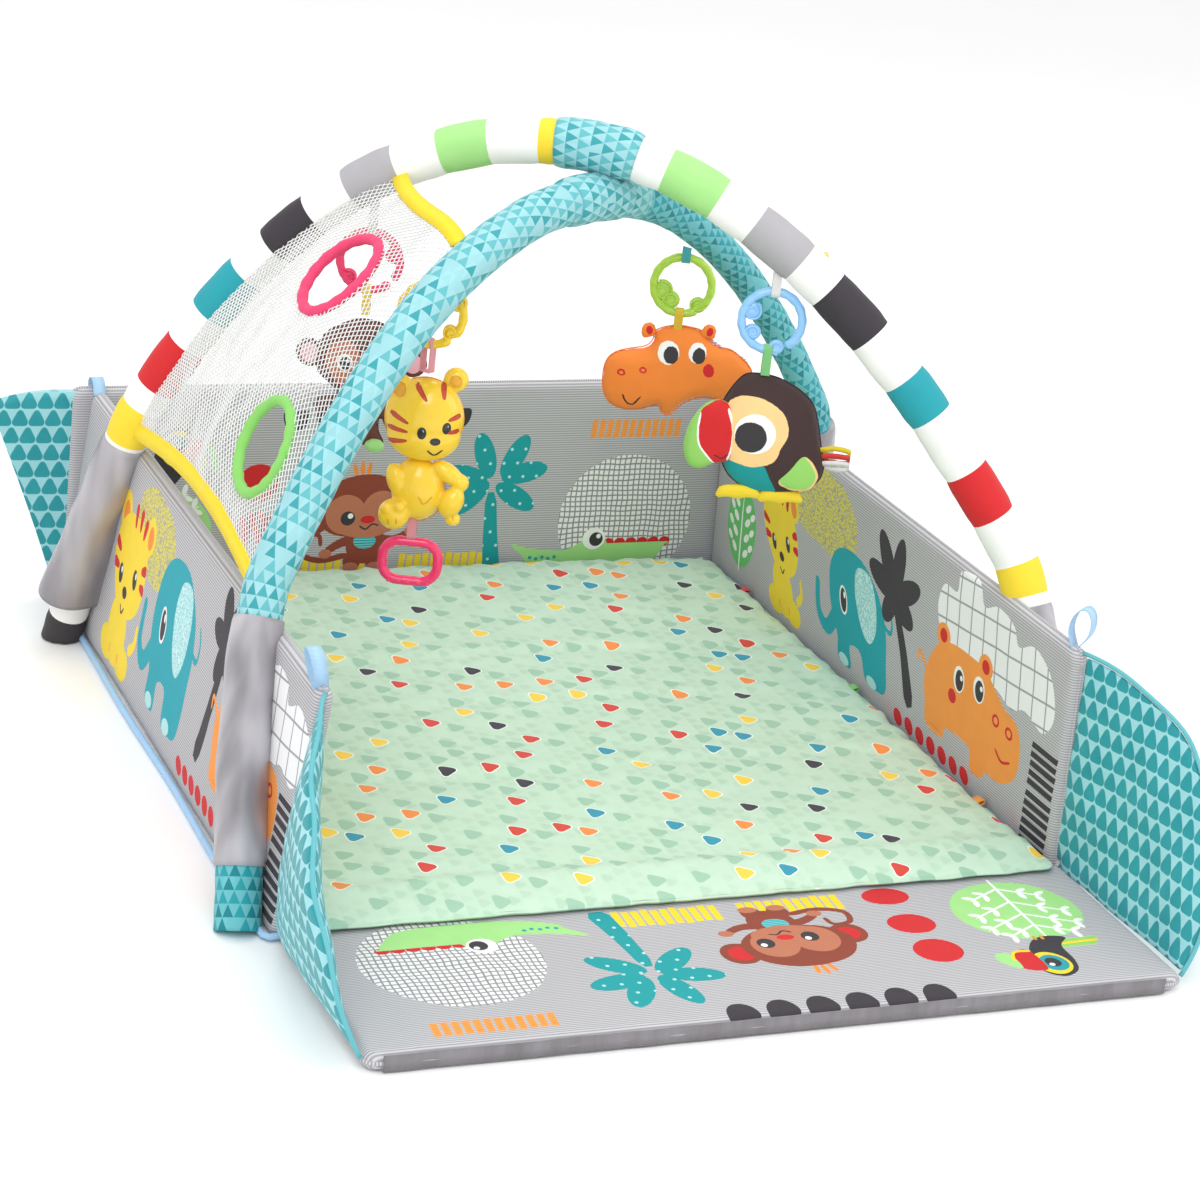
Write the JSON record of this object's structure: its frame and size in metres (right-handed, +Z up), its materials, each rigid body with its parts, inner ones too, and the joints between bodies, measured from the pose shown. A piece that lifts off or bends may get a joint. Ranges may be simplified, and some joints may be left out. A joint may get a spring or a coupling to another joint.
{
  "type": "activity play gym",
  "caption": "Padded baby play mat with four foam walls, crossed padded arches, a ball net and hanging toys; the front wall folds down.",
  "frame": {"origin": "on the floor at the middle of the base, on the base's flat underside", "axes": "+X to the right seen from the open front, +Y to the back wall, +Z up"},
  "size_m": [1.016, 1.13, 0.6759],
  "materials": {
    "base_cloth": "matte",
    "quilt_cloth": "satin",
    "ribbon": "satin",
    "blue_ribbon": "satin",
    "teal_cloth": "matte",
    "striped_cloth": "matte",
    "mesh": "matte",
    "yellow_binding": "satin",
    "pink_binding": "satin",
    "green_binding": "satin",
    "pink_plastic": "gloss",
    "bead_plastic": "matte",
    "yellow_plastic": "gloss",
    "green_plastic": "gloss",
    "blue_plastic": "gloss",
    "brown_plush": "matte",
    "orange_plush": "matte",
    "dark_plush": "matte",
    "foam_board": "matte",
    "wall_cloth": "matte",
    "gusset_cloth": "satin",
    "pole_plastic": "satin",
    "ferrule_metal": "satin",
    "satin_sleeve": "satin"
  },
  "bodies": {
    "gym": {"arch_a_ferrule": "ferrule_metal", "arch_a_left_pole": "pole_plastic", "arch_a_padding": "teal_cloth", "arch_a_right_pole": "pole_plastic", "arch_b_ferrule": "ferrule_metal", "arch_b_left_pole": "pole_plastic", "arch_b_padding": "striped_cloth", "arch_b_right_pole": "pole_plastic", "back_left_gusset": "gusset_cloth", "back_right_gusset": "gusset_cloth", "ball_hole_rim_green": "green_binding", "ball_hole_rim_pink": "pink_binding", "base_board": "base_cloth", "corner_loops": "blue_ribbon", "crossover_wrap": "teal_cloth", "foot_cuff_back_left": "striped_cloth", "foot_cuff_back_right": "teal_cloth", "foot_cuff_front_left": "teal_cloth", "foot_cuff_front_right": "striped_cloth", "front_left_gusset": "gusset_cloth", "front_right_gusset": "gusset_cloth", "left_wall_board": "foam_board", "left_wall_cover": "wall_cloth", "leg_sleeve_back_left": "satin_sleeve", "leg_sleeve_back_right": "satin_sleeve", "leg_sleeve_front_left": "satin_sleeve", "leg_sleeve_front_right": "satin_sleeve", "mat_ribbon_tabs": "ribbon", "mesh_net": "mesh", "net_lower_binding": "yellow_binding", "net_upper_binding": "yellow_binding", "quilt_mat": "quilt_cloth", "right_wall_board": "foam_board", "right_wall_cover": "wall_cloth", "tab_hippo": "ribbon", "tab_monkey": "ribbon", "tab_tiger": "ribbon", "tab_toucan": "ribbon"},
    "front_panel": {"front_panel_cover": "wall_cloth", "front_panel_board": "foam_board"},
    "back_panel": {"back_panel_cover": "wall_cloth", "back_panel_board": "foam_board"},
    "tiger": {"tiger_front_shell": "yellow_plastic", "tiger_back_shell": "yellow_plastic", "tiger_rattle_beads": "bead_plastic", "tiger_top_strap": "ribbon", "tiger_lower_strap": "ribbon"},
    "teether": {"teether_ring": "pink_plastic"},
    "monkey": {"monkey_plush": "brown_plush", "monkey_strap": "ribbon"},
    "hippo": {"hippo_plush": "orange_plush", "hippo_strap": "ribbon"},
    "toucan": {"toucan_plush": "dark_plush", "toucan_strap": "ribbon", "toucan_tail_ribbons": "ribbon"},
    "link_tiger": {"link_ring_tiger": "yellow_plastic"},
    "link_monkey": {"link_ring_monkey": "pink_plastic"},
    "link_hippo": {"link_ring_hippo": "green_plastic"},
    "link_toucan": {"link_ring_toucan": "blue_plastic"}
  },
  "joints": [
    {"name": "front_panel_fold", "type": "hinge", "parent": "gym", "child": "front_panel", "pos_m": [0, -0.4322, 0.0194], "axis": [-1, 0, 0], "range_deg": [0, 90], "deforming": ["front_left_gusset", "front_right_gusset"]},
    {"name": "back_panel_fold", "type": "hinge", "parent": "gym", "child": "back_panel", "pos_m": [0, 0.4514, 0.001], "axis": [-1, 0, 0], "range_deg": [0, 90], "deforming": ["back_left_gusset", "back_right_gusset"]},
    {"name": "tiger_link_swing", "type": "hinge", "parent": "gym", "child": "link_tiger", "pos_m": [-0.19356, -0.09471, 0.52957], "axis": [0.8573, 0.5148, 0], "range_deg": [-35, 35]},
    {"name": "tiger_swing", "type": "hinge", "parent": "link_tiger", "child": "tiger", "pos_m": [-0.19356, -0.09471, 0.46757], "axis": [0.8573, 0.5148, 0], "range_deg": [-30, 30]},
    {"name": "monkey_link_swing", "type": "hinge", "parent": "gym", "child": "link_monkey", "pos_m": [-0.193, 0.1027, 0.52681], "axis": [0.9191, -0.3939, 0], "range_deg": [-35, 35]},
    {"name": "monkey_swing", "type": "hinge", "parent": "link_monkey", "child": "monkey", "pos_m": [-0.193, 0.1027, 0.46481], "axis": [0.9191, -0.3939, 0], "range_deg": [-30, 30]},
    {"name": "hippo_link_swing", "type": "hinge", "parent": "gym", "child": "link_hippo", "pos_m": [0.148, 0.06607, 0.51047], "axis": [0.9191, -0.3939, 0], "range_deg": [-28, 28]},
    {"name": "hippo_swing", "type": "hinge", "parent": "link_hippo", "child": "hippo", "pos_m": [0.148, 0.06607, 0.44847], "axis": [0.9191, -0.3939, 0], "range_deg": [-20, 20]},
    {"name": "toucan_link_swing", "type": "hinge", "parent": "gym", "child": "link_toucan", "pos_m": [0.168, -0.11408, 0.52656], "axis": [0.9191, -0.3939, 0], "range_deg": [-35, 35]},
    {"name": "toucan_swing", "type": "hinge", "parent": "link_toucan", "child": "toucan", "pos_m": [0.168, -0.11408, 0.46456], "axis": [0.9191, -0.3939, 0], "range_deg": [-30, 30]},
    {"name": "teether_swing", "type": "hinge", "parent": "tiger", "child": "teether", "pos_m": [-0.19356, -0.09471, 0.26877], "axis": [0.9191, -0.3939, 0], "range_deg": [-40, 40]}
  ]
}
